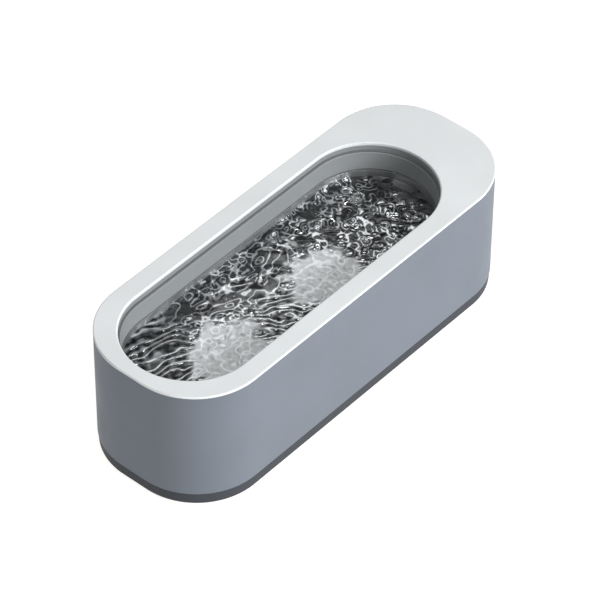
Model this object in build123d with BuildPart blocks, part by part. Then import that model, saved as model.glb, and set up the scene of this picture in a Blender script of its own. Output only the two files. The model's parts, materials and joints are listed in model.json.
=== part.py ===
from build123d import *
import os
from math import cos, pi, radians, sin, tan

# Ultrasonic cleaner for jewellery: an open steel tank in a capsule-shaped plastic housing.
# Millimetres. X runs along the length, with the wide blank land at the +X end.
# Y runs across, Z is up, and the origin is on the table under the middle of the housing.

# ---- Housing, seen from above ----
LENGTH = 200.0
WIDTH = 74.8
CORNER_RADIUS = 31.0
WALL = 2.2
BASE_STEP = 0.1
BASE_DRAFT = 0.4
BASE_ROUNDING = 0.9

# ---- Levels above the table ----
BASE_BOTTOM = 0.8
FLOOR_TOP = 3.0
SEAM_LEVEL = 6.8
SKIRT_TOP = 9.8
TANK_FLOOR = 20.4
TANK_FLANGE_TOP = 46.8
COLLAR_BOTTOM = 47.6
COLLAR_TOP = 56.6
BEZEL_BOTTOM = 57.3
LIP_BOTTOM = 58.2
BEZEL_TOP = 59.6
SHELL_TOP = 60.1
DECK_TOP = 61.0

# ---- Well: the opening in the deck ----
WELL_NEAR_X = -93.7
WELL_FAR_X = 73.4
WELL_RADIUS = 28.7
LEDGE = 1.0
SEAL_LEDGE = 0.8
BEZEL_WALL = 0.9
COLLAR_EDGE = 0.2
SHEET = 0.6
TANK_CORNER = 5.0
FLANGE_REACH = 3.6
COLLAR_WALL = 1.6
COLLAR_FLANGE = 2.0
FLANGE_EAR_RADIUS = 2.5
GASKET_RECESS = 0.3

# ---- Deck ----
DECK_PLATE = 2.4
LIP_WALL = 2.0
DECK_SKIRT_WALL = 1.2
DECK_SKIRT_BOTTOM = 56.6
FIT_GAP = 0.1
SNAP_BEAD = 0.35
SNAP_LEVEL = 58.0
SNAP_HEIGHT = 0.8
OUTER_ROUNDING = 0.45
INNER_ROUNDING = 0.6

# ---- Screws that clamp the tank, its gasket and the collar to the deck ----
TANK_BOSS_RADIUS = 2.1
TANK_BOSS_DEPTH = 7.5
TANK_SCREW_HOLE = 1.1
PILOT_RADIUS = 0.85
TANK_BOSS_OFFSET = 31.8
TANK_SCREW_X = (-40.0, 20.0)
TANK_SCREW_ANGLE = 50.0

# ---- Screws that hold the base cover ----
BASE_SCREW_X = (-58.0, 0.0, 58.0)
BASE_SCREW_Y = 31.6
BASE_BOSS_RADIUS = 2.5
BASE_BOSS_TOP = 24.0
BASE_PILLAR_RADIUS = 3.2
BASE_HEAD_SEAT = 4.6
BASE_HEAD_RADIUS = 2.3
BASE_SHAFT_RADIUS = 1.05
BASE_SHAFT_LENGTH = 16.0
BASE_PILOT_DEPTH = 12.0
RIB_WIDTH = 2.0
BASE_HEAD_BORE = 2.5
BASE_SHAFT_HOLE = 1.3
PILOT_GAP = 0.02

# ---- Proportions shared by every screw ----
HEAD_ROUND_SHARE = 0.45
TIP_CHAMFER_SHARE = 0.5
RECESS_WIDTH_SHARE = 0.4
RECESS_DEPTH_SHARE = 0.55

# ---- Allowances: cuts run past the surface, joined features start inside their root ----
OVERCUT = 1.0
JOIN = 0.2
SMALL_CHAMFER = 0.3

# ---- Rubber feet ----
FOOT_X = 76.0
FOOT_Y = 17.0
FOOT_RADIUS = 5.5
FOOT_HEIGHT = 1.8
FOOT_GAP = 0.2

# ---- Battery bay, for four AAA cells side by side ----
CELL_RADIUS = 5.25
CELL_LENGTH = 44.5
CELL_PITCH = 11.2
CELL_LEVEL = 8.4
CELL_CAP = 0.9
BAY_NEAR_X = -34.8
BAY_FAR_X = 14.8
BAY_HALF_WIDTH = 22.9
BAY_WALL = 1.4
BAY_ROOF_BOTTOM = 14.2
BAY_ROOF = 1.4
CELL_RIB = 0.6
CELL_RIB_DEPTH = 3.0
CELL_RIB_LENGTH = 30.0
CONTACT = 0.4
SPRING_RADIUS = 2.6
SPRING_WIRE = 0.3
SPRING_TURNS = 3
SPRING_GAP = 0.02
CELL_ROUNDING = 0.4
CELL_NUB_RADIUS = 1.9
CONTACT_REACH = 4.0
CONTACT_HEIGHT = 7.6
CONTACT_LIFT = 0.2
CONTACT_CORNER = 1.0
BATTERY_WIRE_LEVEL = 11.0
WIRE_HOLE_GAP = 0.3

# ---- Battery door ----
REBATE = 1.8
REBATE_DEPTH = 1.5
DOOR_PLATE = 1.4
DOOR_GAP = 0.15
TONGUE_Y = 11.2
TONGUE_WIDTH = 3.4
TONGUE_LENGTH = 3.4
TONGUE_THICKNESS = 1.0
TONGUE_OFFSET = 0.35
TONGUE_GAP = 0.1
TONGUE_POST = 1.2
TONGUE_POST_INSET = 0.75
TONGUE_WINDOW_HEIGHT = 2.4
TONGUE_WINDOW_GAP = 0.5
NOTCH_LENGTH = 8.0
NOTCH_WIDTH = 16.0
NOTCH_CORNER = 2.0
LATCH_HALF_WIDTH = 6.4
LATCH_LENGTH = 9.0
LATCH_INSET = 1.5
LATCH_SLIT = 0.8
CATCH_INSET = 1.2
CATCH_LENGTH = 1.0
CATCH_WIDTH = 10.0
CATCH_HEIGHT = 0.8
DOOR_RIB = 1.0
DOOR_RIB_LENGTH = 28.0
DOOR_RIB_HEIGHT = 1.2

# ---- Transducers under the tank ----
FRONT_TRANSDUCER_X = -52.0
REAR_TRANSDUCER_X = 32.0
PIEZO_RADIUS = 12.5
PIEZO_THICKNESS = 2.2
COUPLING_RADIUS = 15.0
COUPLING_THICKNESS = 1.2

# ---- Control board, upright in the land, facing the +X end ----
BOARD_BACK = 86.0
BOARD_FACE = 87.6
BOARD_HALF_WIDTH = 21.0
BOARD_BOTTOM = 10.0
BOARD_HEIGHT = 38.0
BOARD_SCREW_Y = 18.0
BOARD_SCREW_Z = (14.0, 44.0)
POST_RADIUS = 2.5
POST_END = 96.3
POST_PILOT_DEPTH = 6.0
BOARD_HOLE = 1.1
BOARD_CORNER = 1.0

# ---- Parts on the board; each place is (y, z) ----
TRANSFORMER = (-11.0, 34.0)
CORE_BACK = 77.6
CORE_DEPTH = 5.0
CORE_WIDTH = 14.0
CORE_HEIGHT = 13.0
CORE_WINDOW_OFFSET = 3.9
CORE_WINDOW_WIDTH = 2.8
CORE_WINDOW_HEIGHT = 8.0
WINDING_DEPTH = 9.6
WINDING_WIDTH = 10.4
WINDING_HEIGHT = 7.9
WINDING_CORNER = 1.6
WINDING_BORE = 5.1
TRANSFORMER_SEAT = 82.65
SEAT_WIDTH = 14.0
SEAT_OPENING = (11.0, 8.2)
SEAT_BAR = (12.0, 2.0)
SEAT_BAR_OFFSET = 5.4
CAPACITOR_LEVELS = (22.0, 33.0)
CAPACITOR_Y = 2.0
CAPACITOR_RADIUS = 3.15
CAPACITOR_LENGTH = 9.5
CAPACITOR_TOP_ROUND = 0.3
CRIMP_LEVEL = 1.6
CRIMP_HALF_WIDTH = 0.4
CRIMP_RADIUS = 2.8
HEAT_SINK_Y = 13.0
HEAT_SINK_BOTTOM = 26.0
HEAT_SINK_HEIGHT = 14.0
HEAT_SINK_DEPTH = 10.0
HEAT_SINK_PLATE = 2.0
FIN_Y = 16.0
FIN_REACH = 5.0
FIN_THICKNESS = 0.9
FIN_PITCH = 1.8
FIN_START = 0.5
FIN_COUNT = 6
TRANSISTOR_Y = 10.2
TRANSISTOR_OFFSET = 4.6
TRANSISTOR_BOTTOM = 28.0
TRANSISTOR_HEIGHT = 10.0
TRANSISTOR_DEPTH = 8.2
TRANSISTOR_THICKNESS = 3.6
TRANSISTOR_CHAMFER = 0.5
CHOKE = (-13.0, 21.5)
CHOKE_LENGTH = 7.0
CHOKE_FLANGE_RADIUS = 4.0
CHOKE_FLANGE = 1.0
CHOKE_WINDING_RADIUS = 3.3
CHIP = (13.0, 20.5)
CHIP_WIDTH = 9.0
CHIP_HEIGHT = 5.4
CHIP_THICKNESS = 1.6
HEADER_PLACES = (-12.0, 0.0, 12.0)
HEADER_WIDTH = 7.0
HEADER_HEIGHT = 4.4
HEADER_CORNER = 0.5

# ---- Controls on the +X end ----
BUTTON_LEVEL = 39.0
BUTTON_RADIUS = 5.0
BUTTON_TRAVEL = 0.5
BUTTON_GAP = 0.2
BUTTON_FLANGE = 6.2
BUTTON_FLANGE_THICKNESS = 1.5
BUTTON_FLANGE_GAP = 0.2
BUTTON_STEM_RADIUS = 2.0
BUTTON_ROUNDING = 0.5
SWITCH_SIZE = 6.0
SWITCH_CORNER = 0.5
SWITCH_HEIGHT = 3.6
SWITCH_FLOOR = 1.0
SWITCH_BORE = 1.8
PLUNGER_RADIUS = 1.75
PLUNGER_REACH = 5.2
PLUNGER_GAP = 0.1
PLUNGER_CHAMFER = 0.2
LIGHT_LEVEL = 28.5
LIGHT_RADIUS = 1.2
LIGHT_GAP = 0.05
LIGHT_HEAD = 1.9
LED_HEIGHT = 3.4
LED_RADIUS = 1.5
LED_ROUNDING = 1.3
LIGHT_PIPE_GAP = 0.4
LIGHT_STEM_ROOT = 0.5
PORT_LEVEL = 17.0
PORT_WIDTH = 8.94
PORT_HEIGHT = 3.2
PORT_GAP = 0.25
PORT_SHEET = 0.3
PORT_MOUTH = 99.2
PORT_FIT = 0.05
PORT_PLUG = 5.0
BLADE_WIDTH = 6.7
BLADE_THICKNESS = 0.7
BLADE_CORNER = 0.2
BLADE_INSET = 0.8

# ---- Wires ----
WIRE_RADIUS = 0.5
BEND_SHARE = 0.45
HEADER_FACE = 81.5
HEADER_LEVEL = 14.0

# ---- Worked out from the above ----
END = LENGTH / 2
DOOR_TOP = BASE_BOTTOM + DOOR_PLATE
WELL_MIDDLE = (WELL_NEAR_X + WELL_FAR_X) / 2
WELL_LENGTH = WELL_FAR_X - WELL_NEAR_X
NEAR_ARC_X = WELL_NEAR_X + WELL_RADIUS
FAR_ARC_X = WELL_FAR_X - WELL_RADIUS
TANK_UNDERSIDE = TANK_FLOOR - SHEET
BAY_MIDDLE = (BAY_NEAR_X + BAY_FAR_X) / 2
CELL_PLACES = [(index - 1.5) * CELL_PITCH for index in range(4)]
PIEZO_BOTTOM = TANK_UNDERSIDE - COUPLING_THICKNESS - PIEZO_THICKNESS
BASE_SCREWS = [(x, side * BASE_SCREW_Y) for x in BASE_SCREW_X for side in (-1, 1)]
FEET = [(i * FOOT_X, j * FOOT_Y) for i in (-1, 1) for j in (-1, 1)]
BOARD_SCREWS = [(side * BOARD_SCREW_Y, z) for z in BOARD_SCREW_Z for side in (-1, 1)]


def tank_screw_places():
    """Two on each long side of the well and two round each of its ends."""
    places = [(x, side * TANK_BOSS_OFFSET) for x in TANK_SCREW_X for side in (-1, 1)]
    reach = TANK_BOSS_OFFSET * cos(radians(TANK_SCREW_ANGLE))
    spread = TANK_BOSS_OFFSET * sin(radians(TANK_SCREW_ANGLE))
    for side in (-1, 1):
        places.append((NEAR_ARC_X - reach, side * spread))
        places.append((FAR_ARC_X + reach, side * spread))
    return places


TANK_SCREWS = tank_screw_places()


def housing_outline(inset, mode=Mode.ADD):
    """The housing's plan, moved in from its outer face."""
    RectangleRounded(LENGTH - 2 * inset, WIDTH - 2 * inset, CORNER_RADIUS - inset, mode=mode)


def well_outline(outset, mode=Mode.ADD):
    """The well's plan, moved out from the edge of the deck's opening."""
    with Locations((WELL_MIDDLE, 0)):
        SlotOverall(WELL_LENGTH + 2 * outset, 2 * (WELL_RADIUS + outset), mode=mode)


def end_plane(x):
    """A plane across the length at x: its own x is Y, and its own y is Z."""
    return Plane(origin=(x, 0, 0), x_dir=(0, 1, 0), z_dir=(1, 0, 0))


def save(piece, name):
    piece.part.label = name
    export_step(piece.part, f"parts/{name}.step")


os.makedirs("parts", exist_ok=True)

# ======== Housing ========

with BuildPart() as outer_shell:
    with BuildSketch(Plane.XY.offset(SEAM_LEVEL)):
        housing_outline(0)
        housing_outline(WALL, mode=Mode.SUBTRACT)
    extrude(amount=SHELL_TOP - SEAM_LEVEL)
    # Groove that the deck's snap bead clicks into.
    with BuildSketch(Plane.XY.offset(SNAP_LEVEL - FIT_GAP)):
        housing_outline(WALL - SNAP_BEAD - FIT_GAP)
        housing_outline(WALL, mode=Mode.SUBTRACT)
    extrude(amount=SNAP_HEIGHT + 2 * FIT_GAP, mode=Mode.SUBTRACT)
    # Bosses for the base screws, each tied to the wall by a rib.
    with BuildSketch(Plane.XY.offset(SKIRT_TOP + FIT_GAP)):
        with Locations(*BASE_SCREWS):
            Circle(BASE_BOSS_RADIUS)
        for x, y in BASE_SCREWS:
            rib_end = (WIDTH - WALL) / 2 if y > 0 else (WALL - WIDTH) / 2
            with Locations((x, (y + rib_end) / 2)):
                Rectangle(RIB_WIDTH, abs(rib_end - y))
    extrude(amount=BASE_BOSS_TOP - SKIRT_TOP - FIT_GAP)
    with BuildSketch(Plane.XY.offset(SKIRT_TOP)):
        with Locations(*BASE_SCREWS):
            Circle(BASE_SHAFT_RADIUS + PILOT_GAP)
    extrude(amount=BASE_PILOT_DEPTH, mode=Mode.SUBTRACT)
    # Posts that the control board is screwed to.
    with BuildSketch(end_plane(BOARD_FACE)):
        with Locations(*BOARD_SCREWS):
            Circle(POST_RADIUS)
    extrude(amount=POST_END - BOARD_FACE)
    with BuildSketch(end_plane(BOARD_FACE)):
        with Locations(*BOARD_SCREWS):
            Circle(PILOT_RADIUS)
    extrude(amount=POST_PILOT_DEPTH, mode=Mode.SUBTRACT)
    # Holes through the +X end for the button, the light and the charging port.
    with BuildSketch(end_plane(END - WALL - OVERCUT)):
        with Locations((0, BUTTON_LEVEL)):
            Circle(BUTTON_RADIUS + BUTTON_GAP)
        with Locations((0, LIGHT_LEVEL)):
            Circle(LIGHT_RADIUS + LIGHT_GAP)
        with Locations((0, PORT_LEVEL)):
            SlotOverall(PORT_WIDTH + 2 * PORT_GAP, PORT_HEIGHT + 2 * PORT_GAP)
    extrude(amount=WALL + 2 * OVERCUT, mode=Mode.SUBTRACT)
save(outer_shell, "outer_shell")

with BuildPart() as top_deck:
    with BuildSketch(Plane.XY.offset(DECK_TOP - DECK_PLATE)):
        housing_outline(WALL + FIT_GAP)
    extrude(amount=DECK_PLATE)
    with BuildSketch(Plane.XY.offset(SHELL_TOP)):
        housing_outline(0)
    extrude(amount=DECK_TOP - SHELL_TOP)
    # Skirt inside the shell, with a snap bead round it.
    with BuildSketch(Plane.XY.offset(DECK_SKIRT_BOTTOM)):
        housing_outline(WALL + FIT_GAP)
        housing_outline(WALL + FIT_GAP + DECK_SKIRT_WALL, mode=Mode.SUBTRACT)
    extrude(amount=DECK_TOP - DECK_SKIRT_BOTTOM)
    with BuildSketch(Plane.XY.offset(SNAP_LEVEL)):
        housing_outline(WALL - SNAP_BEAD + FIT_GAP)
        housing_outline(WALL + 0.5, mode=Mode.SUBTRACT)
    extrude(amount=SNAP_HEIGHT)
    # Lip that hangs down round the well.
    with BuildSketch(Plane.XY.offset(LIP_BOTTOM)):
        well_outline(LIP_WALL)
    extrude(amount=DECK_TOP - LIP_BOTTOM)
    # Bosses for the tank screws.
    boss_bottom = COLLAR_BOTTOM + COLLAR_FLANGE
    with BuildSketch(Plane.XY.offset(boss_bottom)):
        with Locations(*TANK_SCREWS):
            Circle(TANK_BOSS_RADIUS)
    extrude(amount=DECK_TOP - DECK_PLATE / 2 - boss_bottom)
    with BuildSketch(Plane.XY.offset(boss_bottom)):
        with Locations(*TANK_SCREWS):
            Circle(PILOT_RADIUS)
    extrude(amount=TANK_BOSS_DEPTH, mode=Mode.SUBTRACT)
    with BuildSketch(Plane.XY.offset(COLLAR_TOP)):
        well_outline(0)
    extrude(amount=DECK_TOP - COLLAR_TOP + OVERCUT, mode=Mode.SUBTRACT)
    # Rebate that the bezel is pressed into.
    with BuildSketch(Plane.XY.offset(BEZEL_BOTTOM)):
        well_outline(BEZEL_WALL)
    extrude(amount=BEZEL_TOP - BEZEL_BOTTOM, mode=Mode.SUBTRACT)
    # Rounded edges, seen from above.
    top_face = top_deck.faces().sort_by(Axis.Z)[-1]
    fillet(top_face.outer_wire().edges(), radius=OUTER_ROUNDING)
    top_face = top_deck.faces().sort_by(Axis.Z)[-1]
    fillet(top_face.inner_wires()[0].edges(), radius=INNER_ROUNDING)
save(top_deck, "top_deck")

with BuildPart() as tank_bezel:
    with BuildSketch(Plane.XY.offset(BEZEL_BOTTOM)):
        well_outline(BEZEL_WALL)
        well_outline(0, mode=Mode.SUBTRACT)
    extrude(amount=BEZEL_TOP - BEZEL_BOTTOM)
save(tank_bezel, "tank_bezel")

with BuildPart() as deck_seal:
    with BuildSketch(Plane.XY.offset(COLLAR_TOP)):
        well_outline(COLLAR_WALL - LEDGE)
        well_outline(-SEAL_LEDGE, mode=Mode.SUBTRACT)
    extrude(amount=BEZEL_BOTTOM - COLLAR_TOP)
save(deck_seal, "deck_seal")

with BuildPart() as tank_collar:
    with BuildSketch(Plane.XY.offset(COLLAR_BOTTOM)):
        well_outline(COLLAR_WALL - LEDGE)
        well_outline(-LEDGE, mode=Mode.SUBTRACT)
    extrude(amount=COLLAR_TOP - COLLAR_BOTTOM)
    # Lower flange that the tank is clamped to.
    with BuildSketch(Plane.XY.offset(COLLAR_BOTTOM)):
        well_outline(FLANGE_REACH)
        well_outline(-LEDGE, mode=Mode.SUBTRACT)
        with Locations(*TANK_SCREWS):
            Circle(FLANGE_EAR_RADIUS)
        with Locations(*TANK_SCREWS):
            Circle(TANK_SCREW_HOLE, mode=Mode.SUBTRACT)
    extrude(amount=COLLAR_FLANGE)
    chamfer(tank_collar.faces().sort_by(Axis.Z)[-1].inner_wires()[0].edges(), length=COLLAR_EDGE)
save(tank_collar, "tank_collar")

# ======== Tank ========

with BuildPart() as tank_gasket:
    with BuildSketch(Plane.XY.offset(TANK_FLANGE_TOP)):
        well_outline(FLANGE_REACH)
        well_outline(-LEDGE + GASKET_RECESS, mode=Mode.SUBTRACT)
        with Locations(*TANK_SCREWS):
            Circle(FLANGE_EAR_RADIUS)
        with Locations(*TANK_SCREWS):
            Circle(TANK_SCREW_HOLE, mode=Mode.SUBTRACT)
    extrude(amount=COLLAR_BOTTOM - TANK_FLANGE_TOP)
save(tank_gasket, "tank_gasket")

with BuildPart() as tank_space:
    with BuildSketch(Plane.XY.offset(TANK_FLOOR)):
        well_outline(-LEDGE)
    extrude(amount=TANK_FLANGE_TOP - TANK_FLOOR + OVERCUT)
    fillet(tank_space.faces().sort_by(Axis.Z)[0].edges(), radius=TANK_CORNER)

with BuildPart() as tank:
    with BuildSketch(Plane.XY.offset(TANK_UNDERSIDE)):
        well_outline(-LEDGE + SHEET)
    extrude(amount=TANK_FLANGE_TOP - TANK_UNDERSIDE)
    fillet(tank.faces().sort_by(Axis.Z)[0].edges(), radius=TANK_CORNER + SHEET)
    with BuildSketch(Plane.XY.offset(TANK_FLANGE_TOP - SHEET)):
        well_outline(FLANGE_REACH)
        with Locations(*TANK_SCREWS):
            Circle(FLANGE_EAR_RADIUS)
        with Locations(*TANK_SCREWS):
            Circle(TANK_SCREW_HOLE, mode=Mode.SUBTRACT)
    extrude(amount=SHEET)
    add(tank_space.part, mode=Mode.SUBTRACT)
save(tank, "tank")

for end, x in (("front", FRONT_TRANSDUCER_X), ("rear", REAR_TRANSDUCER_X)):
    with BuildPart() as coupling_plate:
        with BuildSketch(Plane.XY.offset(TANK_UNDERSIDE - COUPLING_THICKNESS)):
            with Locations((x, 0)):
                Circle(COUPLING_RADIUS)
        extrude(amount=COUPLING_THICKNESS)
        chamfer(coupling_plate.faces().sort_by(Axis.Z)[0].edges(), length=0.4)
    save(coupling_plate, f"{end}_coupling_plate")

    with BuildPart() as piezo_disc:
        with BuildSketch(Plane.XY.offset(PIEZO_BOTTOM)):
            with Locations((x, 0)):
                Circle(PIEZO_RADIUS)
        extrude(amount=PIEZO_THICKNESS)
    save(piezo_disc, f"{end}_piezo_disc")

# ======== Base ========

with BuildPart() as base_cover:
    with BuildSketch(Plane.XY.offset(SEAM_LEVEL)):
        housing_outline(BASE_STEP)
    with BuildSketch(Plane.XY.offset(BASE_BOTTOM)):
        housing_outline(BASE_STEP + BASE_DRAFT)
    loft(ruled=True)
    fillet(base_cover.faces().sort_by(Axis.Z)[0].edges(), radius=BASE_ROUNDING)
    # Skirt that laps inside the shell.
    with BuildSketch(Plane.XY.offset(FLOOR_TOP)):
        housing_outline(WALL + FIT_GAP)
    extrude(amount=SKIRT_TOP - FLOOR_TOP)
    with BuildSketch(Plane.XY.offset(FLOOR_TOP)):
        housing_outline(WALL + FIT_GAP + DECK_SKIRT_WALL)
    extrude(amount=SKIRT_TOP, mode=Mode.SUBTRACT)
    # Pillars under the base screws.
    with BuildSketch(Plane.XY.offset(FLOOR_TOP - OVERCUT)):
        with Locations(*BASE_SCREWS):
            Circle(BASE_PILLAR_RADIUS)
    extrude(amount=SKIRT_TOP - FLOOR_TOP + OVERCUT)
    with BuildSketch(Plane.XY):
        with Locations(*BASE_SCREWS):
            Circle(BASE_HEAD_BORE)
    extrude(amount=BASE_HEAD_SEAT, mode=Mode.SUBTRACT)
    with BuildSketch(Plane.XY):
        with Locations(*BASE_SCREWS):
            Circle(BASE_SHAFT_HOLE)
    extrude(amount=SKIRT_TOP + OVERCUT, mode=Mode.SUBTRACT)
    # Battery bay.
    with BuildSketch(Plane.XY.offset(FLOOR_TOP - OVERCUT)):
        with Locations((BAY_MIDDLE, 0)):
            Rectangle(BAY_FAR_X - BAY_NEAR_X + 2 * BAY_WALL, 2 * (BAY_HALF_WIDTH + BAY_WALL))
    extrude(amount=BAY_ROOF_BOTTOM + BAY_ROOF - FLOOR_TOP + OVERCUT)
    with BuildSketch(Plane.XY):
        with Locations((BAY_MIDDLE, 0)):
            Rectangle(BAY_FAR_X - BAY_NEAR_X, 2 * BAY_HALF_WIDTH)
    extrude(amount=BAY_ROOF_BOTTOM, mode=Mode.SUBTRACT)
    # Ribs between the cells.
    with BuildSketch(Plane.XY.offset(BAY_ROOF_BOTTOM - CELL_RIB_DEPTH)):
        with GridLocations(1, CELL_PITCH, 1, 3):
            with Locations((BAY_MIDDLE, 0)):
                Rectangle(CELL_RIB_LENGTH, CELL_RIB)
    extrude(amount=CELL_RIB_DEPTH + BAY_ROOF / 2)
    # Rebate for the door, thumb notch and windows for the door's tongues.
    with BuildSketch(Plane.XY):
        with Locations((BAY_MIDDLE + REBATE / 2, 0)):
            Rectangle(BAY_FAR_X - BAY_NEAR_X + REBATE, 2 * (BAY_HALF_WIDTH + REBATE))
        with Locations((BAY_FAR_X + REBATE + NOTCH_CORNER, 0)):
            RectangleRounded(NOTCH_LENGTH, NOTCH_WIDTH, NOTCH_CORNER)
    extrude(amount=BASE_BOTTOM + REBATE_DEPTH, mode=Mode.SUBTRACT)
    with BuildSketch(Plane.XY.offset(FLOOR_TOP)):
        with Locations((BAY_NEAR_X - BAY_WALL / 2, -TONGUE_Y), (BAY_NEAR_X - BAY_WALL / 2, TONGUE_Y)):
            Rectangle(BAY_WALL + TONGUE_GAP, TONGUE_WIDTH + 2 * TONGUE_WINDOW_GAP)
    extrude(amount=TONGUE_WINDOW_HEIGHT, mode=Mode.SUBTRACT)
    # Holes where the battery wires reach the end contacts.
    with BuildSketch(end_plane(BAY_FAR_X - JOIN)):
        with Locations((CELL_PLACES[0], BATTERY_WIRE_LEVEL), (CELL_PLACES[3], BATTERY_WIRE_LEVEL)):
            Circle(WIRE_RADIUS + WIRE_HOLE_GAP)
    extrude(amount=BAY_WALL + 2 * JOIN, mode=Mode.SUBTRACT)
    # Seats for the feet.
    with BuildSketch(Plane.XY):
        with Locations(*FEET):
            Circle(FOOT_RADIUS + FOOT_GAP)
    extrude(amount=FOOT_HEIGHT, mode=Mode.SUBTRACT)
save(base_cover, "base_cover")

for index, place in enumerate(FEET):
    with BuildPart() as rubber_foot:
        with BuildSketch(Plane.XY):
            with Locations(place):
                Circle(FOOT_RADIUS)
        extrude(amount=FOOT_HEIGHT)
        chamfer(rubber_foot.faces().sort_by(Axis.Z)[0].edges(), length=SMALL_CHAMFER)
    save(rubber_foot, f"rubber_foot_{index + 1}")

with BuildPart() as battery_door:
    with BuildSketch(Plane.XY.offset(BASE_BOTTOM)):
        with Locations((BAY_MIDDLE + REBATE / 2, 0)):
            Rectangle(
                BAY_FAR_X - BAY_NEAR_X + REBATE - 2 * DOOR_GAP,
                2 * (BAY_HALF_WIDTH + REBATE - DOOR_GAP),
            )
    extrude(amount=DOOR_PLATE)
    # Slits beside the latch finger.
    with BuildSketch(Plane.XY):
        with Locations(
            (BAY_FAR_X - LATCH_INSET, -LATCH_HALF_WIDTH),
            (BAY_FAR_X - LATCH_INSET, LATCH_HALF_WIDTH),
        ):
            Rectangle(LATCH_LENGTH, LATCH_SLIT)
    extrude(amount=FLOOR_TOP + OVERCUT, mode=Mode.SUBTRACT)
    # Catch ridge on the latch finger.
    with BuildSketch(Plane.XY.offset(DOOR_TOP - JOIN)):
        with Locations((BAY_FAR_X - CATCH_INSET, 0)):
            Rectangle(CATCH_LENGTH, CATCH_WIDTH)
    extrude(amount=CATCH_HEIGHT + JOIN)
    # Tongues that hook over the floor at the hinge side.
    with BuildSketch(Plane.XY.offset(DOOR_TOP - JOIN)):
        with Locations(
            (BAY_NEAR_X + TONGUE_POST_INSET, -TONGUE_Y),
            (BAY_NEAR_X + TONGUE_POST_INSET, TONGUE_Y),
        ):
            Rectangle(TONGUE_POST, TONGUE_WIDTH)
    extrude(amount=FLOOR_TOP + TONGUE_GAP + TONGUE_THICKNESS - DOOR_TOP + JOIN)
    with BuildSketch(Plane.XY.offset(FLOOR_TOP + TONGUE_GAP)):
        with Locations((BAY_NEAR_X - TONGUE_OFFSET, -TONGUE_Y), (BAY_NEAR_X - TONGUE_OFFSET, TONGUE_Y)):
            Rectangle(TONGUE_LENGTH, TONGUE_WIDTH)
    extrude(amount=TONGUE_THICKNESS)
    # Stiffening ribs inside the door.
    with BuildSketch(Plane.XY.offset(DOOR_TOP - JOIN)):
        with GridLocations(1, CELL_PITCH, 1, 3):
            with Locations((BAY_MIDDLE, 0)):
                Rectangle(DOOR_RIB_LENGTH, DOOR_RIB)
    extrude(amount=DOOR_RIB_HEIGHT + JOIN)
save(battery_door, "battery_door")

# ======== Battery cells and contacts ========

for index, y in enumerate(CELL_PLACES):
    # Cells lie alternately, so that they are wired in series.
    nub_end = BAY_FAR_X - CONTACT if index % 2 == 0 else BAY_NEAR_X + CONTACT
    towards = 1 if index % 2 == 0 else -1
    shoulder = nub_end - towards * CELL_CAP
    with BuildPart() as battery_cell:
        with BuildSketch(end_plane(shoulder)):
            with Locations((y, CELL_LEVEL)):
                Circle(CELL_RADIUS)
        extrude(amount=-towards * (CELL_LENGTH - CELL_CAP))
        fillet(battery_cell.edges().filter_by(GeomType.CIRCLE), radius=CELL_ROUNDING)
        with BuildSketch(end_plane(shoulder - towards * JOIN)):
            with Locations((y, CELL_LEVEL)):
                Circle(CELL_NUB_RADIUS)
        extrude(amount=towards * (CELL_CAP + JOIN))
    save(battery_cell, f"battery_cell_{index + 1}")

with BuildPart() as battery_springs:
    for index, y in enumerate(CELL_PLACES):
        start = BAY_NEAR_X + CONTACT if index % 2 == 0 else BAY_FAR_X - CONTACT
        towards = 1 if index % 2 == 0 else -1
        room = BAY_FAR_X - BAY_NEAR_X - 2 * CONTACT - CELL_LENGTH
        height = room - 2 * SPRING_WIRE - 2 * SPRING_GAP
        foot = start + towards * (SPRING_WIRE + SPRING_GAP)
        with BuildLine():
            coil = Helix(
                pitch=height / SPRING_TURNS,
                height=height,
                radius=SPRING_RADIUS,
                center=(foot, y, CELL_LEVEL),
                direction=(towards, 0, 0),
            )
        with BuildSketch(Plane(origin=coil @ 0, z_dir=coil % 0)):
            Circle(SPRING_WIRE)
        sweep(path=coil, is_frenet=True)
save(battery_springs, "battery_springs")

FIRST, SECOND, THIRD, FOURTH = CELL_PLACES
CONTACT_STRIPS = [
    (BAY_NEAR_X, FIRST, SECOND),
    (BAY_NEAR_X, THIRD, FOURTH),
    (BAY_FAR_X - CONTACT, FIRST, FIRST),
    (BAY_FAR_X - CONTACT, SECOND, THIRD),
    (BAY_FAR_X - CONTACT, FOURTH, FOURTH),
]
with BuildPart() as battery_contacts:
    for x, low, high in CONTACT_STRIPS:
        with BuildSketch(end_plane(x)):
            with Locations(((low + high) / 2, CELL_LEVEL + CONTACT_LIFT)):
                RectangleRounded(high - low + 2 * CONTACT_REACH, CONTACT_HEIGHT, CONTACT_CORNER)
        extrude(amount=CONTACT)
save(battery_contacts, "battery_contacts")

# ======== Screws ========


def pan_screw(shaft_radius, shaft_length, head_radius, head_height, recess):
    """A cross-recessed screw, head down, with the underside of its head at the origin."""
    with BuildPart() as screw:
        with BuildSketch(Plane.XY):
            Circle(head_radius)
        extrude(amount=-head_height)
        fillet(screw.faces().sort_by(Axis.Z)[0].edges(), radius=head_height * HEAD_ROUND_SHARE)
        with BuildSketch(Plane.XY):
            Circle(shaft_radius)
        extrude(amount=shaft_length)
        chamfer(screw.faces().sort_by(Axis.Z)[-1].edges(), length=shaft_radius * TIP_CHAMFER_SHARE)
        with BuildSketch(Plane.XY.offset(-head_height)):
            Rectangle(2 * recess, recess * RECESS_WIDTH_SHARE)
            Rectangle(recess * RECESS_WIDTH_SHARE, 2 * recess)
        extrude(amount=head_height * RECESS_DEPTH_SHARE, mode=Mode.SUBTRACT)
    return screw.part


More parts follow.
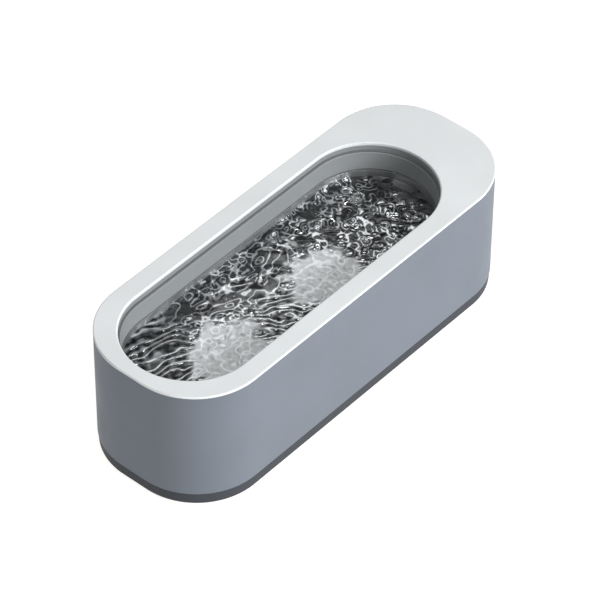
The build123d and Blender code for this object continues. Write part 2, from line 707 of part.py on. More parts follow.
tank_screw = pan_screw(shaft_radius=0.83, shaft_length=8.6, head_radius=1.8, head_height=1.3, recess=1.0)
with BuildPart() as tank_screws:
    with Locations(*[(x, y, TANK_FLANGE_TOP - SHEET) for x, y in TANK_SCREWS]):
        add(tank_screw)
save(tank_screws, "tank_screws")

base_screw = pan_screw(
    shaft_radius=BASE_SHAFT_RADIUS,
    shaft_length=BASE_SHAFT_LENGTH,
    head_radius=BASE_HEAD_RADIUS,
    head_height=1.7,
    recess=1.3,
)
with BuildPart() as base_screws:
    with Locations(*[(x, y, BASE_HEAD_SEAT) for x, y in BASE_SCREWS]):
        add(base_screw)
save(base_screws, "base_screws")

board_screw = pan_screw(shaft_radius=0.83, shaft_length=6.6, head_radius=1.7, head_height=1.2, recess=0.9)
with BuildPart() as board_screws:
    with Locations(*[Location((BOARD_BACK, y, z), (0, 90, 0)) for y, z in BOARD_SCREWS]):
        add(board_screw)
save(board_screws, "board_screws")

# ======== Control board ========

with BuildPart() as control_board:
    with BuildSketch(end_plane(BOARD_BACK)):
        with Locations((0, BOARD_BOTTOM + BOARD_HEIGHT / 2)):
            RectangleRounded(2 * BOARD_HALF_WIDTH, BOARD_HEIGHT, BOARD_CORNER)
        with Locations(*BOARD_SCREWS):
            Circle(BOARD_HOLE, mode=Mode.SUBTRACT)
    extrude(amount=BOARD_FACE - BOARD_BACK)
save(control_board, "control_board")

with BuildPart() as transformer_core:
    with BuildSketch(end_plane(CORE_BACK)):
        with Locations(TRANSFORMER):
            Rectangle(CORE_WIDTH, CORE_HEIGHT)
    extrude(amount=CORE_DEPTH)
    chamfer(transformer_core.edges().filter_by(Axis.X), length=SMALL_CHAMFER)
    with BuildSketch(end_plane(CORE_BACK)):
        with Locations(
            (TRANSFORMER[0] - CORE_WINDOW_OFFSET, TRANSFORMER[1]),
            (TRANSFORMER[0] + CORE_WINDOW_OFFSET, TRANSFORMER[1]),
        ):
            Rectangle(CORE_WINDOW_WIDTH, CORE_WINDOW_HEIGHT)
    extrude(amount=CORE_DEPTH, mode=Mode.SUBTRACT)
save(transformer_core, "transformer_core")

with BuildPart() as transformer_winding:
    with BuildSketch(Plane.XY.offset(TRANSFORMER[1] - WINDING_HEIGHT / 2)):
        with Locations((CORE_BACK + CORE_DEPTH / 2, TRANSFORMER[0])):
            RectangleRounded(WINDING_DEPTH, WINDING_WIDTH, WINDING_CORNER)
            Rectangle(WINDING_BORE, WINDING_BORE, mode=Mode.SUBTRACT)
    extrude(amount=WINDING_HEIGHT)
save(transformer_winding, "transformer_winding")

with BuildPart() as transformer_base:
    with BuildSketch(end_plane(TRANSFORMER_SEAT)):
        with Locations(
            (TRANSFORMER[0], TRANSFORMER[1] + SEAT_BAR_OFFSET),
            (TRANSFORMER[0], TRANSFORMER[1] - SEAT_BAR_OFFSET),
        ):
            Rectangle(*SEAT_BAR)
        with Locations(TRANSFORMER):
            Rectangle(SEAT_WIDTH, SEAT_WIDTH)
            Rectangle(*SEAT_OPENING, mode=Mode.SUBTRACT)
    extrude(amount=BOARD_BACK - TRANSFORMER_SEAT)
save(transformer_base, "transformer_base")

for index, z in enumerate(CAPACITOR_LEVELS):
    with BuildPart() as filter_capacitor:
        with BuildSketch(Plane.XZ):
            with BuildLine():
                Polyline(
                    (BOARD_BACK, 0),
                    (BOARD_BACK - CAPACITOR_LENGTH, 0),
                    (BOARD_BACK - CAPACITOR_LENGTH, CAPACITOR_RADIUS - CAPACITOR_TOP_ROUND),
                    (BOARD_BACK - CAPACITOR_LENGTH + CAPACITOR_TOP_ROUND, CAPACITOR_RADIUS),
                    (BOARD_BACK - CRIMP_LEVEL - CRIMP_HALF_WIDTH, CAPACITOR_RADIUS),
                    (BOARD_BACK - CRIMP_LEVEL, CRIMP_RADIUS),
                    (BOARD_BACK - CRIMP_LEVEL + CRIMP_HALF_WIDTH, CAPACITOR_RADIUS),
                    (BOARD_BACK, CAPACITOR_RADIUS),
                    close=True,
                )
            make_face()
        revolve(axis=Axis.X)
    filter_capacitor.part.position = (0, CAPACITOR_Y, z)
    save(filter_capacitor, f"filter_capacitor_{index + 1}")

with BuildPart() as heat_sink:
    with BuildSketch(Plane.XY.offset(HEAT_SINK_BOTTOM)):
        with Locations((BOARD_BACK - HEAT_SINK_DEPTH / 2, HEAT_SINK_Y)):
            Rectangle(HEAT_SINK_DEPTH, HEAT_SINK_PLATE)
        with Locations(*[(BOARD_BACK - FIN_START - FIN_PITCH * step, FIN_Y) for step in range(FIN_COUNT)]):
            Rectangle(FIN_THICKNESS, FIN_REACH)
    extrude(amount=HEAT_SINK_HEIGHT)
save(heat_sink, "heat_sink")

with BuildPart() as power_transistor:
    with BuildSketch(Plane.XY.offset(TRANSISTOR_BOTTOM)):
        with Locations((BOARD_BACK - TRANSISTOR_OFFSET, TRANSISTOR_Y)):
            Rectangle(TRANSISTOR_DEPTH, TRANSISTOR_THICKNESS)
    extrude(amount=TRANSISTOR_HEIGHT)
    chamfer(power_transistor.faces().sort_by(Axis.Y)[0].edges(), length=TRANSISTOR_CHAMFER)
save(power_transistor, "power_transistor")

with BuildPart() as filter_choke:
    with BuildSketch(Plane.XZ):
        with BuildLine():
            Polyline(
                (BOARD_BACK, 0),
                (BOARD_BACK - CHOKE_LENGTH, 0),
                (BOARD_BACK - CHOKE_LENGTH, CHOKE_FLANGE_RADIUS),
                (BOARD_BACK - CHOKE_LENGTH + CHOKE_FLANGE, CHOKE_FLANGE_RADIUS),
                (BOARD_BACK - CHOKE_LENGTH + CHOKE_FLANGE, CHOKE_WINDING_RADIUS),
                (BOARD_BACK - CHOKE_FLANGE, CHOKE_WINDING_RADIUS),
                (BOARD_BACK - CHOKE_FLANGE, CHOKE_FLANGE_RADIUS),
                (BOARD_BACK, CHOKE_FLANGE_RADIUS),
                close=True,
            )
        make_face()
    revolve(axis=Axis.X)
filter_choke.part.position = (0, *CHOKE)
save(filter_choke, "filter_choke")

with BuildPart() as control_chip:
    with BuildSketch(end_plane(BOARD_BACK)):
        with Locations(CHIP):
            Rectangle(CHIP_WIDTH, CHIP_HEIGHT)
    extrude(amount=-CHIP_THICKNESS)
    chamfer(control_chip.faces().sort_by(Axis.X)[0].edges(), length=SMALL_CHAMFER)
save(control_chip, "control_chip")

with BuildPart() as wire_headers:
    with BuildSketch(end_plane(HEADER_FACE)):
        with Locations(*[(y, HEADER_LEVEL) for y in HEADER_PLACES]):
            RectangleRounded(HEADER_WIDTH, HEADER_HEIGHT, HEADER_CORNER)
    extrude(amount=BOARD_BACK - HEADER_FACE)
save(wire_headers, "wire_headers")

# ======== Button, light and charging port on the +X end ========

SWITCH_TOP = BOARD_FACE + SWITCH_HEIGHT
PLUNGER_BACK = BOARD_FACE + SWITCH_FLOOR + BUTTON_TRAVEL + PLUNGER_GAP
PLUNGER_TOP = BOARD_FACE + PLUNGER_REACH
FLANGE_FRONT = END - WALL - BUTTON_FLANGE_GAP
FLANGE_BACK = FLANGE_FRONT - BUTTON_FLANGE_THICKNESS

with BuildPart() as switch_body:
    with BuildSketch(end_plane(BOARD_FACE)):
        with Locations((0, BUTTON_LEVEL)):
            RectangleRounded(SWITCH_SIZE, SWITCH_SIZE, SWITCH_CORNER)
    extrude(amount=SWITCH_HEIGHT)
    with BuildSketch(end_plane(BOARD_FACE + SWITCH_FLOOR)):
        with Locations((0, BUTTON_LEVEL)):
            Circle(SWITCH_BORE)
    extrude(amount=SWITCH_HEIGHT, mode=Mode.SUBTRACT)
save(switch_body, "switch_body")

with BuildPart() as switch_plunger:
    with BuildSketch(end_plane(PLUNGER_BACK)):
        with Locations((0, BUTTON_LEVEL)):
            Circle(PLUNGER_RADIUS)
    extrude(amount=PLUNGER_TOP - PLUNGER_BACK)
    chamfer(switch_plunger.faces().sort_by(Axis.X)[-1].edges(), length=PLUNGER_CHAMFER)
save(switch_plunger, "switch_plunger")

with BuildPart() as power_button:
    with BuildSketch(end_plane(PLUNGER_TOP)):
        with Locations((0, BUTTON_LEVEL)):
            Circle(BUTTON_STEM_RADIUS)
    extrude(amount=FLANGE_BACK - PLUNGER_TOP + JOIN)
    with BuildSketch(end_plane(FLANGE_BACK)):
        with Locations((0, BUTTON_LEVEL)):
            Circle(BUTTON_FLANGE)
    extrude(amount=FLANGE_FRONT - FLANGE_BACK)
    with BuildSketch(end_plane(FLANGE_FRONT - JOIN)):
        with Locations((0, BUTTON_LEVEL)):
            Circle(BUTTON_RADIUS)
    extrude(amount=END - FLANGE_FRONT + JOIN)
    fillet(power_button.faces().sort_by(Axis.X)[-1].edges(), radius=BUTTON_ROUNDING)
save(power_button, "power_button")

with BuildPart() as indicator_led:
    with BuildSketch(end_plane(BOARD_FACE)):
        with Locations((0, LIGHT_LEVEL)):
            Circle(LED_RADIUS)
    extrude(amount=LED_HEIGHT)
    fillet(indicator_led.faces().sort_by(Axis.X)[-1].edges(), radius=LED_ROUNDING)
save(indicator_led, "indicator_led")

with BuildPart() as light_pipe:
    pipe_start = BOARD_FACE + LED_HEIGHT + LIGHT_PIPE_GAP
    with BuildSketch(end_plane(pipe_start)):
        with Locations((0, LIGHT_LEVEL)):
            Circle(LIGHT_HEAD)
    extrude(amount=END - WALL - pipe_start)
    with BuildSketch(end_plane(END - WALL - LIGHT_STEM_ROOT)):
        with Locations((0, LIGHT_LEVEL)):
            Circle(LIGHT_RADIUS)
    extrude(amount=WALL + LIGHT_STEM_ROOT)
save(light_pipe, "light_pipe")

with BuildPart() as usb_socket_shell:
    with BuildSketch(end_plane(BOARD_FACE)):
        with Locations((0, PORT_LEVEL)):
            SlotOverall(PORT_WIDTH, PORT_HEIGHT)
            SlotOverall(PORT_WIDTH - 2 * PORT_SHEET, PORT_HEIGHT - 2 * PORT_SHEET, mode=Mode.SUBTRACT)
    extrude(amount=PORT_MOUTH - BOARD_FACE)
save(usb_socket_shell, "usb_socket_shell")

with BuildPart() as usb_tongue:
    inner_gap = PORT_SHEET + PORT_FIT
    with BuildSketch(end_plane(BOARD_FACE)):
        with Locations((0, PORT_LEVEL)):
            SlotOverall(PORT_WIDTH - 2 * inner_gap, PORT_HEIGHT - 2 * inner_gap)
    extrude(amount=PORT_PLUG)
    blade_start = BOARD_FACE + PORT_PLUG - JOIN
    with BuildSketch(end_plane(blade_start)):
        with Locations((0, PORT_LEVEL)):
            RectangleRounded(BLADE_WIDTH, BLADE_THICKNESS, BLADE_CORNER)
    extrude(amount=PORT_MOUTH - BLADE_INSET - blade_start)
save(usb_tongue, "usb_tongue")

# ======== Internal wires ========


def bend_radii(points):
    """Each corner's arc takes one share of the shorter of its two runs."""
    radii = []
    for before, corner, after in zip(points, points[1:], points[2:]):
        run_in = Vector(*corner) - Vector(*before)
        run_out = Vector(*after) - Vector(*corner)
        half_turn = radians(run_in.get_angle(run_out)) / 2
        radii.append(BEND_SHARE * min(run_in.length, run_out.length) / tan(half_turn))
    return radii


def wire_part(name, routes):
    """Round wires, one along each route, written as one node."""
    with BuildPart() as wires:
        for points in routes:
            radii = bend_radii(points)
            with BuildLine():
                path = FilletPolyline(*points, radius=radii)
            with BuildSketch(Plane(origin=path @ 0, z_dir=path % 0)):
                Circle(WIRE_RADIUS)
            sweep(path=path, transition=Transition.ROUND)
            volume = pi * WIRE_RADIUS**2 * path.length
            print(name, "smallest radius", round(min(radii), 2), "length", round(path.length, 1))
            print(name, "section x length", round(volume, 2))
    print(name, "volume", round(wires.part.volume, 2))
    save(wires, name)


FRONT_ROUTE = [
    (HEADER_FACE, 13.2, HEADER_LEVEL),
    (75.0, 13.2, HEADER_LEVEL),
    (64.0, 17.6, 9.2),
    (47.0, 25.6, 6.4),
    (24.0, 27.4, 5.6),
    (-6.0, 27.0, 5.9),
    (-35.0, 27.4, 6.4),
    (-46.0, 20.0, 7.4),
    (-50.8, 11.6, 8.4),
    (-52.0, 5.0, 11.8),
    (-52.0, 5.0, PIEZO_BOTTOM),
]
FRONT_ROUTE_BESIDE = [
    (HEADER_FACE, 10.9, HEADER_LEVEL),
    (75.0, 10.9, HEADER_LEVEL),
    (63.2, 15.2, 8.9),
    (46.6, 23.2, 6.1),
    (24.0, 25.4, 5.3),
    (-6.0, 25.1, 5.7),
    (-38.0, 25.8, 6.2),
    (-45.4, 16.6, 7.4),
    (-48.6, 9.6, 8.4),
    (-49.6, 3.4, 11.8),
    (-49.6, 3.4, PIEZO_BOTTOM),
]
REAR_ROUTE = [
    (HEADER_FACE, -1.2, HEADER_LEVEL),
    (74.6, -1.2, HEADER_LEVEL),
    (64.0, 0.6, 10.4),
    (52.0, 2.0, 8.4),
    (42.6, 2.2, 8.8),
    (38.4, 2.4, 11.8),
    (38.4, 2.4, PIEZO_BOTTOM),
]
REAR_ROUTE_BESIDE = [(x, y + 2.4, z) for x, y, z in REAR_ROUTE]
BATTERY_ROUTE = [
    (HEADER_FACE, -13.2, HEADER_LEVEL),
    (73.0, -13.2, HEADER_LEVEL),
    (60.0, -15.2, 9.0),
    (44.0, -17.4, 6.4),
    (30.0, -17.6, 8.0),
    (21.0, CELL_PLACES[0], BATTERY_WIRE_LEVEL),
    (BAY_FAR_X, CELL_PLACES[0], BATTERY_WIRE_LEVEL),
]
BATTERY_ROUTE_BESIDE = [
    (HEADER_FACE, -10.8, HEADER_LEVEL),
    (73.0, -10.8, HEADER_LEVEL),
    (62.0, -6.0, 7.6),
    (49.0, 4.6, 4.4),
    (36.0, 13.4, 5.0),
    (23.4, CELL_PLACES[3], BATTERY_WIRE_LEVEL),
    (BAY_FAR_X, CELL_PLACES[3], BATTERY_WIRE_LEVEL),
]

wire_part("front_transducer_wires", [FRONT_ROUTE, FRONT_ROUTE_BESIDE])
wire_part("rear_transducer_wires", [REAR_ROUTE, REAR_ROUTE_BESIDE])
wire_part("battery_wires", [BATTERY_ROUTE, BATTERY_ROUTE_BESIDE])
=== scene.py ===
"""Ultrasonic cleaner: finishes, water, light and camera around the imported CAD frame, in metres."""
import json
import math

import bpy
import numpy as np
from mathutils import Matrix, Vector


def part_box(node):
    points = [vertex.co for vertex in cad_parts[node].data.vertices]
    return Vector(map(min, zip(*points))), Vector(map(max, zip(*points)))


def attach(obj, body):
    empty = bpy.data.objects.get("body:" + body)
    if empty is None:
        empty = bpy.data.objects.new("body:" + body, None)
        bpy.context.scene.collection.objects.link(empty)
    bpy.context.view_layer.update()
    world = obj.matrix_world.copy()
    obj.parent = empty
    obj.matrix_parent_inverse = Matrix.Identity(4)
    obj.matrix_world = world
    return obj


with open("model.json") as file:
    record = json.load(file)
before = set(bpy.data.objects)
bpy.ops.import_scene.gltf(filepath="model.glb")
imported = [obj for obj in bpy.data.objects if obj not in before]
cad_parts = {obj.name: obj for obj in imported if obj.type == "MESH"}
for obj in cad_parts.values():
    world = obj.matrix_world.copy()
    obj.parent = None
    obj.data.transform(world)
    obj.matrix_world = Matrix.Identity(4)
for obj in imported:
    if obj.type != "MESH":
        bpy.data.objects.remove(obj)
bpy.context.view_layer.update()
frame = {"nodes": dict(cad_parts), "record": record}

HOUSING = "housing"
SLOT_OF = {part["node"]: part["material_slot"] for part in frame["record"]["subparts"]}
WHITE = (1.0, 1.0, 1.0, 1.0)


# ======== Node helpers ========
# A noise's scale is in cells per metre. A pair of limits is where a soft step starts and ends.
MOST_OF_NOISE = (0.3, 0.7)
BEVEL_SAMPLES = 6
EDGE_LIMITS = (0.995, 0.8)
EDGE_BREAKUP_SCALE = 900.0
EDGE_BREAKUP = (0.45, 0.7)


class Recipe:
    """A material's node tree, with short calls to add and join nodes."""

    def __init__(self, name):
        self.material = bpy.data.materials.new(name)
        self.material.use_nodes = True
        self.nodes = self.material.node_tree.nodes
        self.links = self.material.node_tree.links
        self.shader = self.nodes["Principled BSDF"]
        self.place = self.nodes.new("ShaderNodeTexCoord").outputs["Object"]

    def add(self, kind, **settings):
        """A new node with those settings."""
        node = self.nodes.new(kind)
        for key, value in settings.items():
            setattr(node, key, value)
        return node

    def feed(self, socket, source):
        """Set a socket to a number or colour, or join it to another node's output."""
        if isinstance(source, (int, float, tuple)):
            socket.default_value = source
        else:
            self.links.new(source, socket)

    def surface(self, name, source):
        """Feed the shader's own socket of that name."""
        self.feed(self.shader.inputs[name], source)

    def stretched(self, scale):
        """The object's coordinates, scaled along each axis."""
        node = self.add("ShaderNodeMapping")
        self.feed(node.inputs["Vector"], self.place)
        node.inputs["Scale"].default_value = scale
        return node.outputs["Vector"]

    def noise(self, scale, detail=3.0, rough=0.55, vector=None, warp=0.0):
        """Fractal noise, around 0.5."""
        node = self.add("ShaderNodeTexNoise")
        self.feed(node.inputs["Vector"], vector or self.place)
        node.inputs["Scale"].default_value = scale
        node.inputs["Detail"].default_value = detail
        node.inputs["Roughness"].default_value = rough
        node.inputs["Distortion"].default_value = warp
        return node.outputs["Fac"]

    def span(self, value, low, high, to_low=0.0, to_high=1.0):
        """The value carried from one range to another, and held at its ends."""
        node = self.add("ShaderNodeMapRange")
        self.feed(node.inputs["Value"], value)
        node.inputs["From Min"].default_value = low
        node.inputs["From Max"].default_value = high
        node.inputs["To Min"].default_value = to_low
        node.inputs["To Max"].default_value = to_high
        return node.outputs["Result"]

    def maths(self, operation, first, second, clamp=False):
        """The result of a Math node."""
        node = self.add("ShaderNodeMath", operation=operation, use_clamp=clamp)
        self.feed(node.inputs[0], first)
        self.feed(node.inputs[1], second)
        return node.outputs[0]

    def mix(self, factor, first, second):
        """The first colour at a factor of 0, the second at 1."""
        node = self.add("ShaderNodeMix", data_type="RGBA")
        self.feed(node.inputs["Factor"], factor)
        self.feed(node.inputs["A"], first)
        self.feed(node.inputs["B"], second)
        return node.outputs["Result"]

    def bump(self, height, depth, normal=None):
        """A normal tilted by the height, whose full range is that depth."""
        node = self.add("ShaderNodeBump")
        node.inputs["Strength"].default_value = 1.0
        node.inputs["Distance"].default_value = depth
        self.feed(node.inputs["Height"], height)
        if normal is not None:
            self.links.new(normal, node.inputs["Normal"])
        return node.outputs["Normal"]

    def rounded(self, radius):
        """A normal that turns smoothly over sharp edges."""
        node = self.add("ShaderNodeBevel", samples=BEVEL_SAMPLES)
        node.inputs["Radius"].default_value = radius
        return node.outputs["Normal"]

    def edge_wear(self, radius):
        """1 on sharp edges and 0 on flats, broken up by noise."""
        geometry = self.add("ShaderNodeNewGeometry")
        dot = self.add("ShaderNodeVectorMath", operation="DOT_PRODUCT")
        self.links.new(self.rounded(radius), dot.inputs[0])
        self.links.new(geometry.outputs["Normal"], dot.inputs[1])
        edge = self.span(dot.outputs["Value"], *EDGE_LIMITS)
        return self.maths("MULTIPLY", edge, self.span(self.noise(EDGE_BREAKUP_SCALE), *EDGE_BREAKUP))


def shade(colour, factor=1.0):
    """The colour made darker or lighter, with its alpha added."""
    return tuple(min(1.0, c * factor) for c in colour) + (1.0,)


# ======== Plastic ========
PLASTIC_IOR = 1.47
DRIFT_SCALE = 28.0
DRIFT_LIMITS = (0.35, 0.65)
DRIFT_DARK = 0.965
DRIFT_LIGHT = 1.03
SPECK_SCALE = 1800.0
SPECK_LIMITS = (0.62, 0.75)
SPECK_SHARE = 0.25
SPECK_SHADE = 0.85
WEAR_REACH = 1.6
WEAR_PALING = 0.45
HANDLING_SCALE = 60.0
HANDLING_SPREAD = 0.05
HAIRLINE_SCALE = 900.0
HAIRLINE_STRETCH = (1.0, 0.06, 1.0)
HAIRLINE_LIMITS = (0.66, 0.72)
HAIRLINE_DULLING = 0.06
GRAIN_SCALE = 2600.0


def plastic(name, colour, roughness, depth=0.00002, wear=0.25, rounding=0.0003, gloss=0.5):
    """Moulded plastic: spark-eroded grain, slow colour drift, handling polish and rubbed edges."""
    r = Recipe(name)
    drift = r.span(r.noise(DRIFT_SCALE, detail=2.0), *DRIFT_LIMITS)
    body = r.mix(drift, shade(colour, DRIFT_DARK), shade(colour, DRIFT_LIGHT))
    specks = r.span(r.noise(SPECK_SCALE, detail=2.0), *SPECK_LIMITS)
    body = r.mix(r.maths("MULTIPLY", specks, SPECK_SHARE), body, shade(colour, SPECK_SHADE))
    rubbed = r.maths("MULTIPLY", r.edge_wear(rounding * WEAR_REACH), wear)
    paled = tuple(c + (1 - c) * WEAR_PALING for c in colour)
    r.surface("Base Color", r.mix(rubbed, body, shade(paled)))

    polished, dulled = roughness - HANDLING_SPREAD, roughness + HANDLING_SPREAD
    handling = r.noise(HANDLING_SCALE, detail=4.0, rough=0.6)
    handled = r.span(handling, *MOST_OF_NOISE, polished, dulled)
    stretched = r.stretched(HAIRLINE_STRETCH)
    scratches = r.noise(HAIRLINE_SCALE, detail=2.0, rough=0.5, vector=stretched)
    hairlines = r.maths("MULTIPLY", r.span(scratches, *HAIRLINE_LIMITS), HAIRLINE_DULLING)
    r.surface("Roughness", r.maths("ADD", handled, hairlines))
    grain = r.noise(GRAIN_SCALE, detail=2.0, rough=0.6)
    r.surface("Normal", r.bump(grain, depth, r.rounded(rounding)))
    r.surface("IOR", PLASTIC_IOR)
    r.surface("Specular IOR Level", gloss)
    return r.material


# ======== Metal ========
LINE_SCALE = 1500.0
LINE_DARK = 0.86
LINE_LIGHT = 1.08
LINE_POLISH = -0.05
LINE_DULLING = 0.06
SMEAR_SCALE = 45.0
SMEAR_WARP = 0.4
SMEAR_LIMITS = (0.55, 0.8)
SMEAR_SHARE = 0.35
SMEAR_SHADE = 0.72
SMEAR_POLISH = 0.05
SMEAR_DULLING = 0.07


def metal(name, colour, roughness, along=(1.0, 1.0, 1.0), depth=0.000006, rounding=0.00015):
    """Drawn, turned or plated metal: fine lines or grain, smears and a few dull spots."""
    r = Recipe(name)
    lines = r.noise(LINE_SCALE, detail=4.0, rough=0.65, vector=r.stretched(along))
    smear = r.noise(SMEAR_SCALE, detail=4.0, rough=0.6, warp=SMEAR_WARP)
    tint = r.mix(r.span(lines, *MOST_OF_NOISE), shade(colour, LINE_DARK), shade(colour, LINE_LIGHT))
    smeared = r.span(smear, *SMEAR_LIMITS, 0.0, SMEAR_SHARE)
    r.surface("Base Color", r.mix(smeared, tint, shade(colour, SMEAR_SHADE)))

    fine = r.span(lines, *MOST_OF_NOISE, LINE_POLISH, LINE_DULLING)
    broad = r.span(smear, *MOST_OF_NOISE, roughness - SMEAR_POLISH, roughness + SMEAR_DULLING)
    r.surface("Roughness", r.maths("ADD", fine, broad))
    r.surface("Normal", r.bump(lines, depth, r.rounded(rounding)))
    r.surface("Metallic", 1.0)
    return r.material


# ======== Rubber ========
DUST_SCALE = 320.0
DUST_LIMITS = (0.5, 0.75)
DUST_SHARE = 0.35
DUST_PALING = 0.08
MOTTLE_SCALE = 90.0
MOTTLE_SPREAD = 0.08
RUBBER_GRAIN_SCALE = 2200.0
RUBBER_GRAIN_DEPTH = 0.00002
RUBBER_ROUNDING = 0.0002


def rubber(name, colour, roughness=0.72):
    """Moulded silicone: dusty, faintly mottled, soft edged."""
    r = Recipe(name)
    specks = r.noise(DUST_SCALE, detail=5.0, rough=0.65)
    dust = r.span(specks, *DUST_LIMITS, 0.0, DUST_SHARE)
    dusty = tuple(c + DUST_PALING for c in colour)
    r.surface("Base Color", r.mix(dust, shade(colour), shade(dusty)))
    smooth, dull = roughness - MOTTLE_SPREAD, roughness + MOTTLE_SPREAD
    r.surface("Roughness", r.span(r.noise(MOTTLE_SCALE), *MOST_OF_NOISE, smooth, dull))
    grain = r.noise(RUBBER_GRAIN_SCALE)
    r.surface("Normal", r.bump(grain, RUBBER_GRAIN_DEPTH, r.rounded(RUBBER_ROUNDING)))
    return r.material


# ======== Finishes of the CAD nodes, by material slot ========
# A metal's noise is stretched out along the axes whose scale is small here.
ROUND_THE_WALL = (0.05, 0.05, 1.0)
ALONG_Z = (1.0, 1.0, 0.05)
ALONG_X = (0.05, 1.0, 1.0)

FINISHES = {
    # Seen from the camera
    "shell_plastic": plastic("shell_satin", (0.126, 0.144, 0.172), 0.5, gloss=0.25),
    "deck_plastic": plastic(
        "deck_satin", (0.625, 0.650, 0.660), 0.55, depth=0.000012, wear=0.1, rounding=0.00015, gloss=0.2),
    "collar_plastic": plastic("collar_satin", (0.222, 0.236, 0.242), 0.5, depth=0.00001, wear=0.1),
    "base_plastic": plastic("base_matt", (0.036, 0.041, 0.049), 0.6, gloss=0.22),
    "tank_steel": metal("tank_drawn_steel", (0.42, 0.43, 0.44), 0.5, ROUND_THE_WALL, 0.0000015),
    "seal_rubber": rubber("seal_silicone", (0.115, 0.120, 0.123)),
    # Underneath and on the far end
    "foot_rubber": rubber("foot_moulded_rubber", (0.026, 0.026, 0.028)),
    "button_plastic": plastic("button_satin", (0.76, 0.775, 0.79), 0.4),
    "light_plastic": plastic("light_acrylic", (0.75, 0.80, 0.86), 0.2, depth=0.000002),
    "port_steel": metal("port_drawn_steel", (0.58, 0.58, 0.58), 0.25, ALONG_X),
    "screw_steel": metal("screw_zinc", (0.55, 0.55, 0.53), 0.32),
    # Inside the housing
    "coupling_aluminium": metal("coupling_turned_aluminium", (0.78, 0.78, 0.79), 0.3),
    "piezo_ceramic": plastic("piezo_silvered", (0.60, 0.58, 0.50), 0.4),
    "cell_wrap": plastic("cell_sleeve", (0.05, 0.06, 0.08), 0.28, depth=0.000004),
    "contact_steel": metal("contact_nickel", (0.62, 0.61, 0.57), 0.22),
    "board_laminate": plastic("board_solder_mask", (0.02, 0.12, 0.05), 0.35),
    "ferrite": plastic("ferrite_sintered", (0.06, 0.06, 0.06), 0.6),
    "winding_tape": plastic("winding_polyester", (0.62, 0.47, 0.06), 0.35),
    "black_plastic": plastic("black_moulded", (0.02, 0.02, 0.022), 0.5),
    "capacitor_sleeve": plastic("capacitor_shrink_sleeve", (0.02, 0.03, 0.06), 0.33),
    "heat_sink_aluminium": metal("heat_sink_extruded", (0.62, 0.62, 0.63), 0.35, ALONG_Z),
    "header_plastic": plastic("header_nylon", (0.74, 0.72, 0.64), 0.5),
    "plunger_plastic": plastic("plunger_acetal", (0.45, 0.05, 0.04), 0.4),
    "wire_silicone": rubber("wire_jacket", (0.30, 0.025, 0.02), 0.5),
}
for node_name, cad in frame["nodes"].items():
    cad.data.materials.clear()
    cad.data.materials.append(FINISHES[SLOT_OF[node_name]])


# ======== Water: size and place ========
# The pan's outline is a capsule; the seal's box gives it once the ledge and the wall are taken off.
PAN_INSET = 0.0016
WATER_DEPTH_BELOW_TANK = 0.0034
WATER_SLAB = 0.004
GRID_STEP = 0.0003
TIP_ANGLE = math.radians(0.8)
MENISCUS_RISE = 0.0002
MENISCUS_REACH = 0.0007
STILL_EDGE = 0.0030


def middle_x(node_name):
    """The middle of a node along X."""
    low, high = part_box(node_name)
    return (low.x + high.x) / 2


seal_low, seal_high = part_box("deck_seal")
WATER_RADIUS = (seal_high.y - seal_low.y) / 2 - PAN_INSET
NEAR_CENTRE = seal_low.x + PAN_INSET + WATER_RADIUS
FAR_CENTRE = seal_high.x - PAN_INSET - WATER_RADIUS
WATER_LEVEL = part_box("tank")[1].z - WATER_DEPTH_BELOW_TANK
FRONT_X = middle_x("front_piezo_disc")
REAR_X = middle_x("rear_piezo_disc")

# ======== Water: wave fields ========
RIPPLE_SEED = 11
WAVE_SPREAD = 0.25
WAVE_COUNT = 28
DRIFT_LENGTH = 0.030
DRIFT_SPREAD = 0.4
DRIFT_COUNT = 14
SWELL_LENGTH = 0.0145
RIPPLE_LENGTH = 0.0080
CHOP_LENGTH = 0.0045
FINE_CHOP_LENGTH = 0.0027
STREAK_LENGTH = 0.0062
STREAK_MIX = (0.45, 0.12)  # of x and y
RING_COUNT = 14
RING_X = (0.026, 0.062)
RING_Y = (-0.020, 0.021)
RING_RADIUS = (0.0013, 0.0034)
RING_WIDTH = 0.00050


def smooth_step(value, low, high):
    """0 up to low, 1 from high on, and a soft slope between."""
    t = np.clip((value - low) / (high - low), 0.0, 1.0)
    return t * t * (3 - 2 * t)


def weighted(weights, *fields):
    """The fields added up, each times its weight."""
    return sum(weight * field for weight, field in zip(weights, fields))


class RandomWaves:
    """Interfering plane waves of about one length and any direction, so the crests look like water."""

    def __init__(self, rng, length, spread=WAVE_SPREAD, count=WAVE_COUNT):
        size = length * rng.uniform(1 - spread, 1 + spread, count)
        angle = rng.uniform(0, 2 * math.pi, count)
        self.kx = 2 * math.pi / size * np.cos(angle)
        self.ky = 2 * math.pi / size * np.sin(angle)
        self.phase = rng.uniform(0, 2 * math.pi, count)

    def at(self, x, y):
        total = np.zeros_like(x)
        for kx, ky, phase in zip(self.kx, self.ky, self.phase):
            total += np.cos(kx * x + ky * y + phase)
        return total / math.sqrt(len(self.kx) / 2)


def drop_rings(rng, x, y):
    """Rings left by bubbles that burst in the turbulent third."""
    total = np.zeros_like(x)
    for _ in range(RING_COUNT):
        centre_x, centre_y = rng.uniform(*RING_X), rng.uniform(*RING_Y)
        radius = rng.uniform(*RING_RADIUS)
        gap = np.hypot(x - centre_x, y - centre_y) - radius
        total += np.exp(-(gap / RING_WIDTH) ** 2)
    return np.clip(total, 0.0, 1.0)


